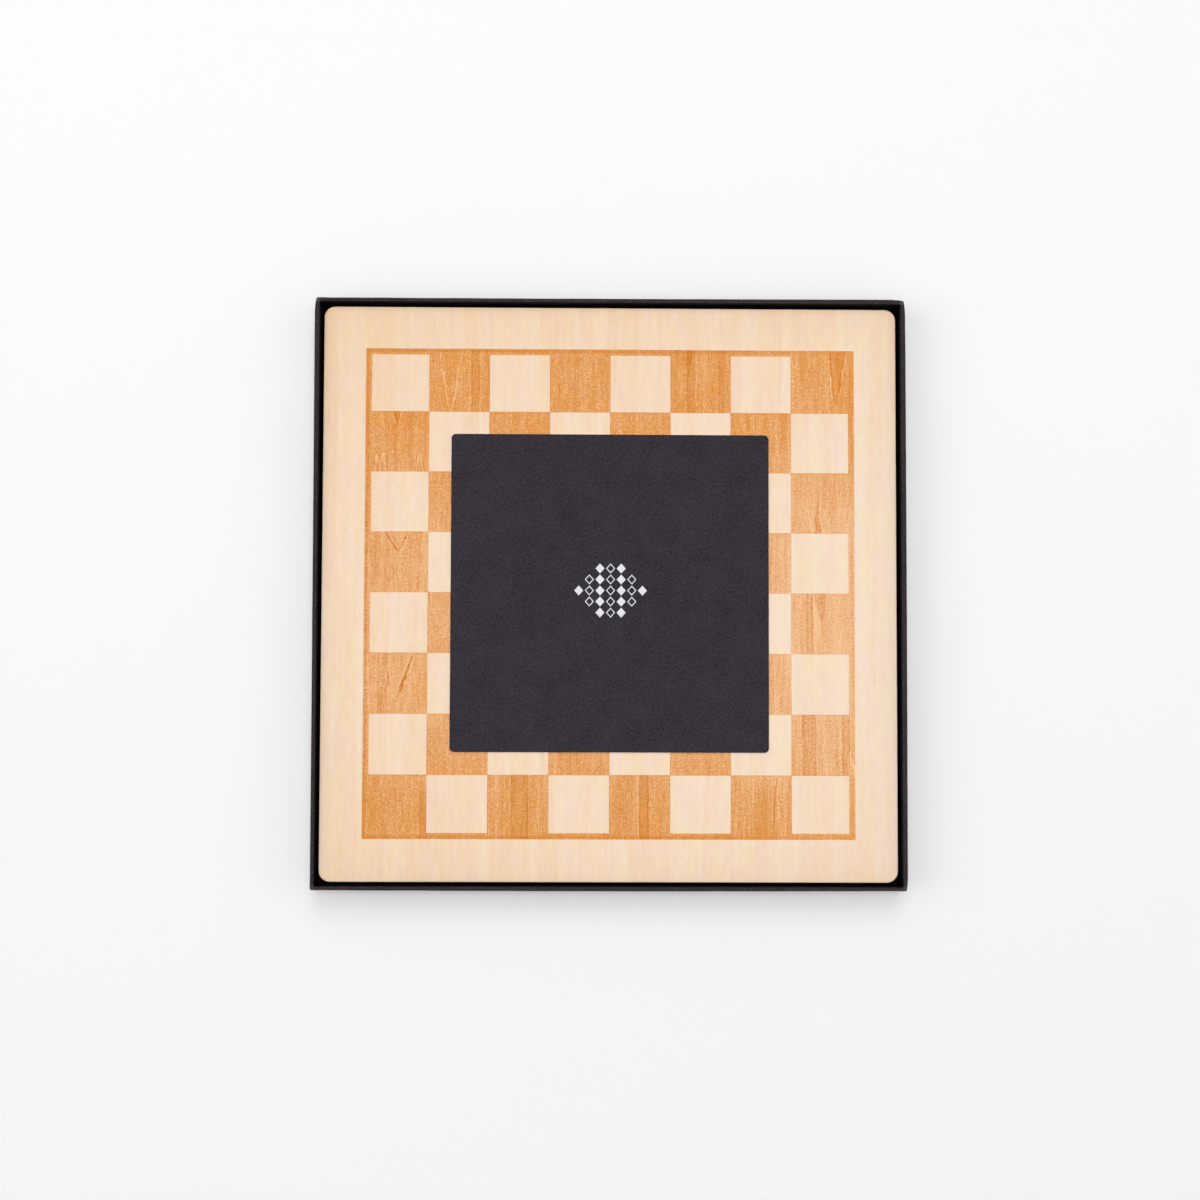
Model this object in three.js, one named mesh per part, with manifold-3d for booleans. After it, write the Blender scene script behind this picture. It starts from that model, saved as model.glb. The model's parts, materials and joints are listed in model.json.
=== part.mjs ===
// A wooden chess board lying in its open black presentation tray, with its stitched booklet on top.
// Millimetres. +Z is up, -Y is the side of the player whose left-hand corner square is dark, and the
// origin is the middle of the tray's underside.
import * as THREE from "three";
import { mergeVertices } from "three/addons/utils/BufferGeometryUtils.js";
import Module from "manifold-3d";

const wasm = await Module();
wasm.setup();

// Playing field, engraved into the face veneer.
const SQUARES_PER_SIDE = 8;
const SQUARE = 40;
const FIELD_LINE = 4; // border line, centred on the outer edge of the squares
const ENGRAVED_DEPTH = 0.3;
const ENGRAVED_OVERLAP = 0.1; // how far an engraved square runs past its own edges

// Board panel: a core with solid lippings round it and a veneer on both faces.
const MARGIN = 30; // plain wood round the squares
const FACE_VENEER = 1;
const CORE = 13;
const BACK_VENEER = 1;
const LIPPING = 10;
const BOARD_CORNER_RADIUS = 7.5;
const BOARD_EDGE_RADIUS = 0.8;

// Felt feet under the board.
const FOOT_RADIUS = 7.5;
const FOOT_HEIGHT = 1.6;
const FOOT_INSET = 25; // from the board's edges to the middle of a foot

// Tray: grey board walls and base, taped at the corners and covered with black paper.
const GREY_BOARD = 1.75;
const WRAP_PAPER = 0.3;
const LINING_PAPER = 0.3;
const STAY_PAPER = 0.2;
const BOARD_CLEARANCE = 2.45; // from the board's edge to the tray's wall
const RIM_ABOVE_BOARD = 6;
const WRAP_TURN_UNDER = 12;
const WALL_CORNER_RADIUS = 1.4;
const RIM_OUTER_RADIUS = 0.6;
const RIM_INNER_RADIUS = 0.4;
const TRAY_INNER_CORNER_RADIUS = 0.4;
const STAY_LEG = 18;
const STAY_END_GAP = 2; // from a stay's ends to the rim and to the base
const LINING_GAP = 0.5; // round the floor lining
const BASE_PAPER_INSET = 1.5;

// Booklet: folded sheets in a folded cover, held by two wire staples.
const BOOKLET = 210;
const BOOKLET_CORNER_RADIUS = 3;
const COVER_SHEET = 0.35;
const LEAF_SHEET = 0.15;
const INNER_SHEETS = 3;
const STAPLE_WIRE_RADIUS = 0.2;
const STAPLE_CROWN = 13;
const STAPLE_POINT = 4; // clinched end of a staple
const STAPLE_SPACING = 105;
const STAPLE_BEND_RADIUS = 0.5;
const STAPLE_CLEARANCE = 0.05;
const STAPLE_SLOT_GAP = 0.15;
const FOLD_CLEARANCE = 0.1; // between the turning leaves and what stays in the fold

// Smoothness of arcs, and how far a cutting shape runs past what it cuts.
const CORNER_STEPS = 8;
const EDGE_STEPS = 4;
const TIGHT_STEPS = 3; // corners and edges of the tray
const FOLD_STEPS = 12;
const FOOT_STEPS = 32;
const WIRE_SIDES = 8;
const WIRE_STEPS = 36;
const OVERRUN = 5;

// Half sizes in plan, from the middle outwards.
const fieldHalf = (SQUARES_PER_SIDE * SQUARE) / 2;
const boardHalf = fieldHalf + MARGIN;
const coreHalf = boardHalf - LIPPING;
const trayClearHalf = boardHalf + BOARD_CLEARANCE;
const wallInnerHalf = trayClearHalf + WRAP_PAPER;
const wallOuterHalf = wallInnerHalf + GREY_BOARD;
const stayOuterHalf = wallOuterHalf + STAY_PAPER;
const trayHalf = stayOuterHalf + WRAP_PAPER;
const bookletHalf = BOOKLET / 2;

// Heights, from the surface that the tray stands on.
const basePaperTop = WRAP_PAPER;
const baseBoardLow = basePaperTop + WRAP_PAPER;
const baseBoardTop = baseBoardLow + GREY_BOARD;
const liningTop = baseBoardTop + LINING_PAPER;
const boardLow = liningTop + FOOT_HEIGHT;
const coreLow = boardLow + BACK_VENEER;
const coreTop = coreLow + CORE;
const boardTop = coreTop + FACE_VENEER;
const rimTop = boardTop + RIM_ABOVE_BOARD;
const wallTop = rimTop - WRAP_PAPER;

const colours = {
  maple: { color: 0xe8c7a0, roughness: 0.55, metalness: 0 },
  mapleEdge: { color: 0xe2bd93, roughness: 0.6, metalness: 0 },
  coreBoard: { color: 0xb08a62, roughness: 0.85, metalness: 0 },
  felt: { color: 0x2b2b2d, roughness: 1, metalness: 0 },
  greyBoard: { color: 0x8f8b84, roughness: 0.9, metalness: 0 },
  stayTape: { color: 0xb89468, roughness: 0.85, metalness: 0 },
  blackPaper: { color: 0x17161a, roughness: 0.8, metalness: 0 },
  coverCard: { color: 0x2a272c, roughness: 0.85, metalness: 0 },
  pagePaper: { color: 0xf1efe9, roughness: 0.9, metalness: 0 },
  wire: { color: 0xb9bbbd, roughness: 0.35, metalness: 1 },
};

const root = new THREE.Group();

// Solids and meshes.

function solidFrom(geometry) {
  geometry.deleteAttribute("normal");
  geometry.deleteAttribute("uv");
  const merged = mergeVertices(geometry);
  return new wasm.Manifold(
    new wasm.Mesh({
      numProp: 3,
      vertProperties: merged.attributes.position.array,
      triVerts: new Uint32Array(merged.index.array),
    }),
  );
}

function addPiece(group, name, solid, colour) {
  const { numProp, vertProperties, triVerts } = solid.getMesh();
  const positions = new Float32Array((vertProperties.length / numProp) * 3);
  for (let i = 0; i < positions.length / 3; i++) {
    positions.set(vertProperties.subarray(i * numProp, i * numProp + 3), i * 3);
  }
  const indexed = new THREE.BufferGeometry();
  indexed.setAttribute("position", new THREE.BufferAttribute(positions, 3));
  indexed.setIndex(new THREE.BufferAttribute(triVerts, 1));
  const geometry = indexed.toNonIndexed();
  geometry.computeVertexNormals();
  const mesh = new THREE.Mesh(geometry, new THREE.MeshStandardMaterial(colours[colour]));
  mesh.name = name;
  group.add(mesh);
}

function polygon(points) {
  return new THREE.Shape(points.map(([x, y]) => new THREE.Vector2(x, y)));
}

function rectangle(left, right, front, back) {
  return polygon([
    [left, front],
    [right, front],
    [right, back],
    [left, back],
  ]);
}

function square(half) {
  return rectangle(-half, half, -half, half);
}

function roundedSquare(half, radius) {
  const centre = half - radius;
  const shape = new THREE.Shape();
  for (let corner = 0; corner < 4; corner++) {
    const start = (corner * Math.PI) / 2;
    const x = centre * (corner === 0 || corner === 3 ? 1 : -1);
    const y = centre * (corner < 2 ? 1 : -1);
    shape.absarc(x, y, radius, start, start + Math.PI / 2, false);
  }
  return shape;
}

// A shape in plan, raised from one exact height to another.
function slab(shape, low, high, steps = CORNER_STEPS) {
  const geometry = new THREE.ExtrudeGeometry(shape, {
    depth: 1,
    bevelEnabled: false,
    curveSegments: steps,
  });
  const position = geometry.attributes.position;
  for (let i = 0; i < position.count; i++) {
    position.setZ(i, position.getZ(i) > 0 ? high : low);
  }
  return solidFrom(geometry);
}

// A rounded square block whose upper and lower edges are rounded too.
function softBlock(half, cornerRadius, edgeRadius, low, high, edgeSteps, cornerSteps) {
  const geometry = new THREE.ExtrudeGeometry(roundedSquare(half, cornerRadius), {
    depth: high - low - 2 * edgeRadius,
    bevelThickness: edgeRadius,
    bevelSize: edgeRadius,
    bevelOffset: -edgeRadius,
    bevelSegments: edgeSteps,
    curveSegments: cornerSteps,
  });
  geometry.translate(0, 0, low + edgeRadius);
  return solidFrom(geometry);
}

// A section drawn across the booklet, X to the right and Z upwards, run along Y.
function alongY(section, front, back) {
  const geometry = new THREE.ExtrudeGeometry(section, {
    depth: 1,
    bevelEnabled: false,
    curveSegments: FOLD_STEPS,
  });
  const position = geometry.attributes.position;
  for (let i = 0; i < position.count; i++) {
    const height = position.getY(i);
    position.setY(i, position.getZ(i) > 0 ? front : back);
    position.setZ(i, height);
  }
  return solidFrom(geometry);
}

// The same outline turned by quarter turns about the middle.
function turned(points, quarterTurns) {
  let result = points;
  for (let turn = 0; turn < quarterTurns; turn++) {
    result = result.map(([x, y]) => [-y, x]);
  }
  return result;
}

const SIDES = ["front", "right", "back", "left"];
const CORNERS = [
  { name: "front_left", x: -1, y: -1 },
  { name: "front_right", x: 1, y: -1 },
  { name: "back_right", x: 1, y: 1 },
  { name: "back_left", x: -1, y: 1 },
];

// The tray.

function sideWrap() {
  const cornerRadius = WALL_CORNER_RADIUS + STAY_PAPER + WRAP_PAPER;
  const outside = softBlock(
    trayHalf,
    cornerRadius,
    RIM_OUTER_RADIUS,
    basePaperTop - OVERRUN,
    rimTop,
    TIGHT_STEPS,
    TIGHT_STEPS,
  ).intersect(slab(square(trayHalf + OVERRUN), basePaperTop, rimTop));
  const walls = slab(
    roundedSquare(stayOuterHalf, WALL_CORNER_RADIUS + STAY_PAPER),
    baseBoardLow,
    wallTop,
    TIGHT_STEPS,
  );
  const turnIn = slab(square(wallInnerHalf), baseBoardTop, wallTop);
  const room = slab(
    roundedSquare(trayClearHalf, TRAY_INNER_CORNER_RADIUS),
    baseBoardTop - OVERRUN,
    rimTop + OVERRUN,
    TIGHT_STEPS,
  ).intersect(slab(square(trayHalf), baseBoardLow, rimTop + OVERRUN));
  const underside = slab(
    square(trayHalf - WRAP_TURN_UNDER),
    basePaperTop - OVERRUN,
    baseBoardLow + OVERRUN,
  );
  return outside
    .subtract(walls.subtract(turnIn))
    .subtract(room)
    .subtract(flaredMouth())
    .subtract(underside);
}

// Widens the tray's mouth to round the rim's inner edge.
function flaredMouth() {
  let mouth = null;
  for (let step = 0; step < TIGHT_STEPS; step++) {
    const upper = ((step + 1) * Math.PI) / 2 / TIGHT_STEPS;
    const lower = (step * Math.PI) / 2 / TIGHT_STEPS;
    const level = rimTop - RIM_INNER_RADIUS * (1 - Math.sin((upper + lower) / 2));
    const half = trayClearHalf + RIM_INNER_RADIUS * (1 - Math.cos((upper + lower) / 2));
    const cut = slab(
      roundedSquare(half, TRAY_INNER_CORNER_RADIUS),
      level,
      rimTop + OVERRUN,
      TIGHT_STEPS,
    );
    mouth = mouth ? mouth.add(cut) : cut;
  }
  return mouth;
}

function cornerStay({ x, y }) {
  const outer = slab(
    roundedSquare(stayOuterHalf, WALL_CORNER_RADIUS + STAY_PAPER),
    baseBoardLow + STAY_END_GAP,
    wallTop - STAY_END_GAP,
    TIGHT_STEPS,
  );
  const inner = slab(
    roundedSquare(wallOuterHalf, WALL_CORNER_RADIUS),
    baseBoardLow,
    wallTop,
    TIGHT_STEPS,
  );
  const near = stayOuterHalf - STAY_LEG;
  const far = stayOuterHalf + OVERRUN;
  const place = slab(
    rectangle(
      Math.min(x * near, x * far),
      Math.max(x * near, x * far),
      Math.min(y * near, y * far),
      Math.max(y * near, y * far),
    ),
    baseBoardLow,
    wallTop,
  );
  return outer.subtract(inner).intersect(place);
}

function trayWall(side) {
  const alongX = side === "front" || side === "back";
  const sign = side === "front" || side === "left" ? -1 : 1;
  const low = Math.min(sign * wallInnerHalf, sign * wallOuterHalf);
  const high = Math.max(sign * wallInnerHalf, sign * wallOuterHalf);
  const outline = alongX
    ? rectangle(-wallOuterHalf, wallOuterHalf, low, high)
    : rectangle(low, high, -wallInnerHalf, wallInnerHalf);
  const envelope = slab(
    roundedSquare(wallOuterHalf, WALL_CORNER_RADIUS),
    baseBoardLow,
    wallTop,
    TIGHT_STEPS,
  );
  return slab(outline, baseBoardLow, wallTop).intersect(envelope);
}

function buildTray() {
  const tray = new THREE.Group();
  const basePaperHalf = trayHalf - BASE_PAPER_INSET;
  addPiece(tray, "base_paper", slab(square(basePaperHalf), 0, basePaperTop), "blackPaper");
  addPiece(
    tray,
    "base_board",
    slab(square(wallInnerHalf), baseBoardLow, baseBoardTop),
    "greyBoard",
  );
  for (const side of SIDES) {
    addPiece(tray, `wall_${side}`, trayWall(side), "greyBoard");
  }
  for (const corner of CORNERS) {
    addPiece(tray, `corner_stay_${corner.name}`, cornerStay(corner), "stayTape");
  }
  addPiece(tray, "side_wrap", sideWrap(), "blackPaper");
  addPiece(
    tray,
    "floor_lining",
    slab(square(trayClearHalf - LINING_GAP), baseBoardTop, liningTop),
    "blackPaper",
  );
  return tray;
}

// The board.

// Everything that is engraved: the dark squares and the line round them.
function engraving() {
  const low = boardTop - ENGRAVED_DEPTH;
  const high = boardTop + OVERRUN;
  let cut = slab(square(fieldHalf + FIELD_LINE / 2), low, high).subtract(
    slab(square(fieldHalf - FIELD_LINE / 2), low - OVERRUN, high + OVERRUN),
  );
  for (let file = 0; file < SQUARES_PER_SIDE; file++) {
    for (let rank = 0; rank < SQUARES_PER_SIDE; rank++) {
      const dark = (file + rank) % 2 === 0;
      if (!dark) continue;
      const left = file * SQUARE - fieldHalf;
      const front = rank * SQUARE - fieldHalf;
      const outline = rectangle(
        left - ENGRAVED_OVERLAP,
        left + SQUARE + ENGRAVED_OVERLAP,
        front - ENGRAVED_OVERLAP,
        front + SQUARE + ENGRAVED_OVERLAP,
      );
      cut = cut.add(slab(outline, low, high));
    }
  }
  return cut;
}

// One mitred strip of solid wood round the core.
function lipping(quarterTurns, panel) {
  const reach = boardHalf + OVERRUN;
  const outline = [
    [-coreHalf, -coreHalf],
    [-reach, -reach],
    [reach, -reach],
    [coreHalf, -coreHalf],
  ];
  const strip = slab(polygon(turned(outline, quarterTurns)), coreLow, coreTop);
  return strip.intersect(panel);
}

function buildBoard() {
  const board = new THREE.Group();
  const panel = softBlock(
    boardHalf,
    BOARD_CORNER_RADIUS,
    BOARD_EDGE_RADIUS,
    boardLow,
    boardTop,
    EDGE_STEPS,
    CORNER_STEPS,
  );
  const cover = square(boardHalf + OVERRUN);
  addPiece(board, "board_core", slab(square(coreHalf), coreLow, coreTop), "coreBoard");
  SIDES.forEach((side, quarterTurns) => {
    addPiece(board, `lipping_${side}`, lipping(quarterTurns, panel), "mapleEdge");
  });
  addPiece(
    board,
    "face_veneer",
    panel.intersect(slab(cover, coreTop, boardTop)).subtract(engraving()),
    "maple",
  );
  addPiece(board, "back_veneer", panel.intersect(slab(cover, boardLow, coreLow)), "maple");
  const footPlace = boardHalf - FOOT_INSET;
  for (const { name, x, y } of CORNERS) {
    const outline = new THREE.Shape(
      new THREE.EllipseCurve(x * footPlace, y * footPlace, FOOT_RADIUS, FOOT_RADIUS)
        .getPoints(FOOT_STEPS)
        .slice(1),
    );
    addPiece(board, `felt_foot_${name}`, slab(outline, liningTop, boardLow), "felt");
  }
  return board;
}

// The booklet. Its sheets are nested in the fold, so each layer has a radius there.

const foldRadius = COVER_SHEET + INNER_SHEETS * LEAF_SHEET;
const foldX = foldRadius - bookletHalf;
const foldZ = boardTop + foldRadius;
const layerRadii = [foldRadius];
for (let sheet = 0; sheet < INNER_SHEETS; sheet++) {
  layerRadii.push((INNER_SHEETS - sheet) * LEAF_SHEET);
}
layerRadii.push(0);
const stapleOffset = foldRadius + STAPLE_CLEARANCE + STAPLE_WIRE_RADIUS;
const stapleHeight = STAPLE_WIRE_RADIUS + STAPLE_CLEARANCE;
const leafSetback =
  Math.hypot(stapleOffset, stapleHeight) + STAPLE_WIRE_RADIUS + FOLD_CLEARANCE;

function bookletOutline() {
  return slab(
    roundedSquare(bookletHalf, BOOKLET_CORNER_RADIUS),
    boardTop - OVERRUN,
    foldZ + foldRadius + OVERRUN,
  );
}

// A lower leaf with the whole of its sheet's fold.
function lowerLeaf(layer) {
  const outer = layerRadii[layer];
  const inner = layerRadii[layer + 1];
  const section = new THREE.Shape();
  section.moveTo(bookletHalf, foldZ - outer);
  section.lineTo(foldX, foldZ - outer);
  section.absarc(foldX, foldZ, outer, -Math.PI / 2, Math.PI / 2, true);
  if (inner > 0) {
    section.lineTo(foldX, foldZ + inner);
    section.absarc(foldX, foldZ, inner, Math.PI / 2, -Math.PI / 2, false);
  }
  section.lineTo(foldX, foldZ - inner);
  section.lineTo(bookletHalf, foldZ - inner);
  let leaf = alongY(section, -bookletHalf, bookletHalf).intersect(bookletOutline());
  for (const middle of [-STAPLE_SPACING / 2, STAPLE_SPACING / 2]) {
    for (const leg of [-STAPLE_CROWN / 2, STAPLE_CROWN / 2]) {
      leaf = leaf.subtract(stapleSlot(middle + leg));
    }
  }
  return leaf;
}

// Room in the fold for one leg of a staple.
function stapleSlot(y) {
  const reach = STAPLE_WIRE_RADIUS + STAPLE_SLOT_GAP;
  return slab(
    rectangle(foldX - foldRadius - OVERRUN, foldX, y - reach, y + reach),
    foldZ + stapleHeight - reach,
    foldZ + stapleHeight + reach,
  );
}

// An upper leaf, which turns about the fold.
function upperLeaf(layer) {
  return slab(
    rectangle(foldX + leafSetback, bookletHalf, -bookletHalf, bookletHalf),
    foldZ + layerRadii[layer + 1],
    foldZ + layerRadii[layer],
  ).intersect(bookletOutline());
}

function staple(middle) {
  const crownX = foldX - stapleOffset;
  const pointX = foldX + stapleHeight + STAPLE_WIRE_RADIUS;
  const half = STAPLE_CROWN / 2;
  const corners = [
    [pointX, half - STAPLE_POINT],
    [pointX, half],
    [crownX, half],
    [crownX, -half],
    [pointX, -half],
    [pointX, STAPLE_POINT - half],
  ].map(([x, y]) => new THREE.Vector3(x, middle + y, foldZ + stapleHeight));
  const path = new THREE.CurvePath();
  let from = corners[0];
  for (let i = 1; i < corners.length - 1; i++) {
    const before = towards(corners[i], corners[i - 1], STAPLE_BEND_RADIUS);
    const after = towards(corners[i], corners[i + 1], STAPLE_BEND_RADIUS);
    path.add(new THREE.LineCurve3(from, before));
    path.add(new THREE.QuadraticBezierCurve3(before, corners[i], after));
    from = after;
  }
  path.add(new THREE.LineCurve3(from, corners[corners.length - 1]));
  const section = new THREE.Shape(
    new THREE.EllipseCurve(0, 0, STAPLE_WIRE_RADIUS, STAPLE_WIRE_RADIUS)
      .getPoints(WIRE_SIDES)
      .slice(1),
  );
  return solidFrom(
    new THREE.ExtrudeGeometry(section, { steps: WIRE_STEPS, extrudePath: path }),
  );
}

function towards(from, to, distance) {
  return from.clone().add(to.clone().sub(from).setLength(distance));
}

function buildBooklet() {
  const booklet = new THREE.Group();
  addPiece(booklet, "back_cover", lowerLeaf(0), "coverCard");
  addPiece(booklet, "front_cover", upperLeaf(0), "coverCard");
  for (let sheet = 1; sheet <= INNER_SHEETS; sheet++) {
    addPiece(booklet, `back_leaf_${sheet}`, lowerLeaf(sheet), "pagePaper");
    addPiece(booklet, `front_leaf_${sheet}`, upperLeaf(sheet), "pagePaper");
  }
  addPiece(booklet, "staple_front", staple(-STAPLE_SPACING / 2), "wire");
  addPiece(booklet, "staple_back", staple(STAPLE_SPACING / 2), "wire");
  return booklet;
}

root.add(buildTray(), buildBoard(), buildBooklet());

export default root;
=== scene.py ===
"""Looks of a wooden chess board that lies in its open black tray, with its booklet on top."""

import json
import math

import bpy
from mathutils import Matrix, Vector, noise


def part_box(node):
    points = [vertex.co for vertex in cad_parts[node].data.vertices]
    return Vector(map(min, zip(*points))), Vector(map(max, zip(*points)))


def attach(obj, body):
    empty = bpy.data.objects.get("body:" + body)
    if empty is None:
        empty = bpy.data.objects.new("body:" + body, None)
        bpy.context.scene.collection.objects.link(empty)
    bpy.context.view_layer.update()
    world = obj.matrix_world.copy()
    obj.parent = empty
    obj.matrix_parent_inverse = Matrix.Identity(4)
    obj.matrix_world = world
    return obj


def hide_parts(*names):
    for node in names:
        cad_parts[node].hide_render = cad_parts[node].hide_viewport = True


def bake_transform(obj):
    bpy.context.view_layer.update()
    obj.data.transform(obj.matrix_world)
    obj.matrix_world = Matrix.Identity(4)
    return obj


MM = 0.001

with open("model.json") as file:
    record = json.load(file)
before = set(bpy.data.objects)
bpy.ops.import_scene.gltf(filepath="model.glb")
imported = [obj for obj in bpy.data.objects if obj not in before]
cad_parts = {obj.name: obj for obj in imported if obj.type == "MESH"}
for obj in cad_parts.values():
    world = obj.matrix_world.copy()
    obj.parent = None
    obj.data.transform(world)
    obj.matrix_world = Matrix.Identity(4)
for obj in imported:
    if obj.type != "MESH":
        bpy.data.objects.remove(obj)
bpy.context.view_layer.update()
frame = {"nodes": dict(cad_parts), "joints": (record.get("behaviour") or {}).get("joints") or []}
hinge_joint = next(joint for joint in frame["joints"] if joint["name"] == "cover_open")


def box_mm(node):
    """The lowest and highest corners of a CAD node in millimetres."""
    return [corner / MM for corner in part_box(node)]


# Sizes in millimetres, taken from the CAD where it has them.
SQUARES_PER_SIDE = 8
SQUARE = 40
FIELD_LINE = 4
ENGRAVED_DEPTH = 0.3
BOARD_TOP = box_mm("face_veneer")[1].z
BOARD_HALF = box_mm("face_veneer")[1].x
FIELD_HALF = SQUARES_PER_SIDE * SQUARE / 2

TRAY_HALF = box_mm("side_wrap")[1].x
RIM_TOP = box_mm("side_wrap")[1].z
WRAP_LOW = box_mm("side_wrap")[0].z
WALL_TOP = box_mm("wall_front")[1].z
WALL_INNER_HALF = box_mm("wall_right")[0].x
TRAY_FLOOR = box_mm("base_board")[1].z
LINING_HALF = box_mm("floor_lining")[1].x
WRAP_PAPER = RIM_TOP - WALL_TOP
WRAP_TURN_UNDER = 12
WRAP_CORNER_RADIUS = 1.9
WRAP_INNER_CORNER_RADIUS = 0.5
WRAP_BACK_CORNER_RADIUS = 0.4
RIM_OUTER_RADIUS = 0.6
RIM_INNER_RADIUS = 0.4

BOOKLET_HALF = box_mm("back_cover")[1].x
BOOKLET_CORNER_RADIUS = 3
FOLD_X = hinge_joint["pos_m"][0] / MM
FOLD_Z = hinge_joint["pos_m"][2] / MM
RESTING_GAP = 0.01  # between the board and the cover that lies on it
COVER_TOP = box_mm("front_cover")[1].z - RESTING_GAP
STAPLE_POINT = 4  # length of a clinched end
STAPLE_BEND_RADIUS = 0.5
STAPLE_DENT = 0.47  # how deep a crown is pressed into the fold, so that it has room when the fold opens


def srgb(red, green, blue):
    """A screen colour, 0 to 255, as the linear colour that a shader takes."""
    shares = [channel / 255 for channel in (red, green, blue)]
    return tuple(s / 12.92 if s <= 0.04045 else ((s + 0.055) / 1.055) ** 2.4 for s in shares) + (1.0,)


# Shader building.


class Term:
    """A number or colour inside a shader, with arithmetic that adds the nodes for it."""

    def __init__(self, shader, socket):
        self.shader = shader
        self.socket = socket

    def math(self, operation, *others):
        return self.shader.math(operation, self, *others)

    def __add__(self, other):
        return self.math("ADD", other)

    __radd__ = __add__

    def __sub__(self, other):
        return self.math("SUBTRACT", other)

    def __rsub__(self, other):
        return self.shader.math("SUBTRACT", other, self)

    def __mul__(self, other):
        return self.math("MULTIPLY", other)

    __rmul__ = __mul__

    def __truediv__(self, other):
        return self.math("DIVIDE", other)

    def __pow__(self, other):
        return self.math("POWER", other)

    def absolute(self):
        return self.math("ABSOLUTE")

    def fraction(self):
        return self.math("FRACT")

    def least(self, other):
        return self.math("MINIMUM", other)

    def most(self, other):
        return self.math("MAXIMUM", other)

    def above(self, other):
        return self.math("GREATER_THAN", other)

    def rise(self, low, high):
        """0 below low, 1 above high, and a smooth step between them."""
        made = self.shader.node("MapRange", interpolation_type="SMOOTHSTEP")
        for name, value in (("Value", self), ("From Min", low), ("From Max", high)):
            self.shader.feed(made.inputs[name], value)
        return Term(self.shader, made.outputs[0])


class Shader:
    """One material and its node tree."""

    def __init__(self, name, roughness, specular):
        self.material = bpy.data.materials.new(name)
        self.material.use_nodes = True
        self.tree = self.material.node_tree
        self.surface = self.tree.nodes["Principled BSDF"]
        self.surface.inputs["Roughness"].default_value = roughness
        self.surface.inputs["Specular IOR Level"].default_value = specular

    def feed(self, socket, value):
        if isinstance(value, Term):
            self.tree.links.new(value.socket, socket)
        else:
            socket.default_value = value

    def node(self, kind, **settings):
        made = self.tree.nodes.new("ShaderNode" + kind)
        for name, value in settings.items():
            setattr(made, name, value)
        return made

    def math(self, operation, *values):
        made = self.node("Math", operation=operation)
        for socket, value in zip(made.inputs, values):
            self.feed(socket, value)
        return Term(self, made.outputs[0])

    def place(self):
        """The surface point in millimetres, as X, Y and Z."""
        coordinates = self.node("TexCoord")
        parts = self.node("SeparateXYZ")
        self.tree.links.new(coordinates.outputs["Object"], parts.inputs[0])
        return [Term(self, output) / MM for output in parts.outputs]

    def noise(self, x, y, z=0.0, detail=2.0, rough=0.5):
        """Soft noise about 0.5 over three numbers: places over the size of a grain, or a seed."""
        vector = self.node("CombineXYZ")
        for socket, value in zip(vector.inputs, (x, y, z)):
            self.feed(socket, value)
        made = self.node("TexNoise")
        made.inputs["Scale"].default_value = 1.0
        made.inputs["Detail"].default_value = detail
        made.inputs["Roughness"].default_value = rough
        self.tree.links.new(vector.outputs[0], made.inputs["Vector"])
        return Term(self, made.outputs[0])

    def mix(self, share, first, second, blend="MIX"):
        """first and second colours mixed by share."""
        made = self.node("Mix", data_type="RGBA", blend_type=blend)
        for index, value in ((0, share), (6, first), (7, second)):
            self.feed(made.inputs[index], value)
        return Term(self, made.outputs[2])

    def scaled(self, colour, value):
        """A colour made lighter or darker by a factor."""
        grey = self.node("CombineXYZ")
        for socket in grey.inputs:
            self.feed(socket, value)
        return self.mix(1.0, colour, Term(self, grey.outputs[0]), "MULTIPLY")

    def bump(self, height, distance):
        """Lets the surface seem to rise with height, by distance in metres."""
        made = self.node("Bump")
        made.inputs["Distance"].default_value = distance
        self.feed(made.inputs["Height"], height)
        self.tree.links.new(made.outputs[0], self.surface.inputs["Normal"])

    def whiten(self, share):
        """Shows plain white in place of the surface, by share."""
        white = self.node("Emission")
        made = self.node("MixShader")
        self.feed(made.inputs["Fac"], share)
        self.tree.links.new(self.surface.outputs[0], made.inputs[1])
        self.tree.links.new(white.outputs[0], made.inputs[2])
        self.tree.links.new(made.outputs[0], self.tree.nodes["Material Output"].inputs["Surface"])

    def done(self, colour, roughness=None):
        """The material, with the colour of its surface."""
        self.feed(self.surface.inputs["Base Color"], colour)
        if roughness is not None:
            self.feed(self.surface.inputs["Roughness"], roughness)
        return self.material


# Wood.

MAPLE_CREAM = srgb(248, 225, 200)
MAPLE_OCHRE = srgb(240, 206, 171)
MAPLE_WARM = (1.0, 1.005, 0.95, 1.0)  # factors on the tone
MAPLE_ROSE = (1.0, 0.98, 1.02, 1.0)
ENGRAVED_DEEP = srgb(226, 151, 72)
ENGRAVED_PALE = srgb(240, 186, 135)
ENGRAVED_DARK = srgb(203, 117, 0)
ENGRAVED_EMBER = srgb(214, 119, 0)  # takes its place towards the right
ENGRAVED_LIGHT = srgb(255, 211, 161)
ENGRAVED_ROSE = srgb(228, 158, 98)
CORE_BROWN = srgb(176, 138, 98)


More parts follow.
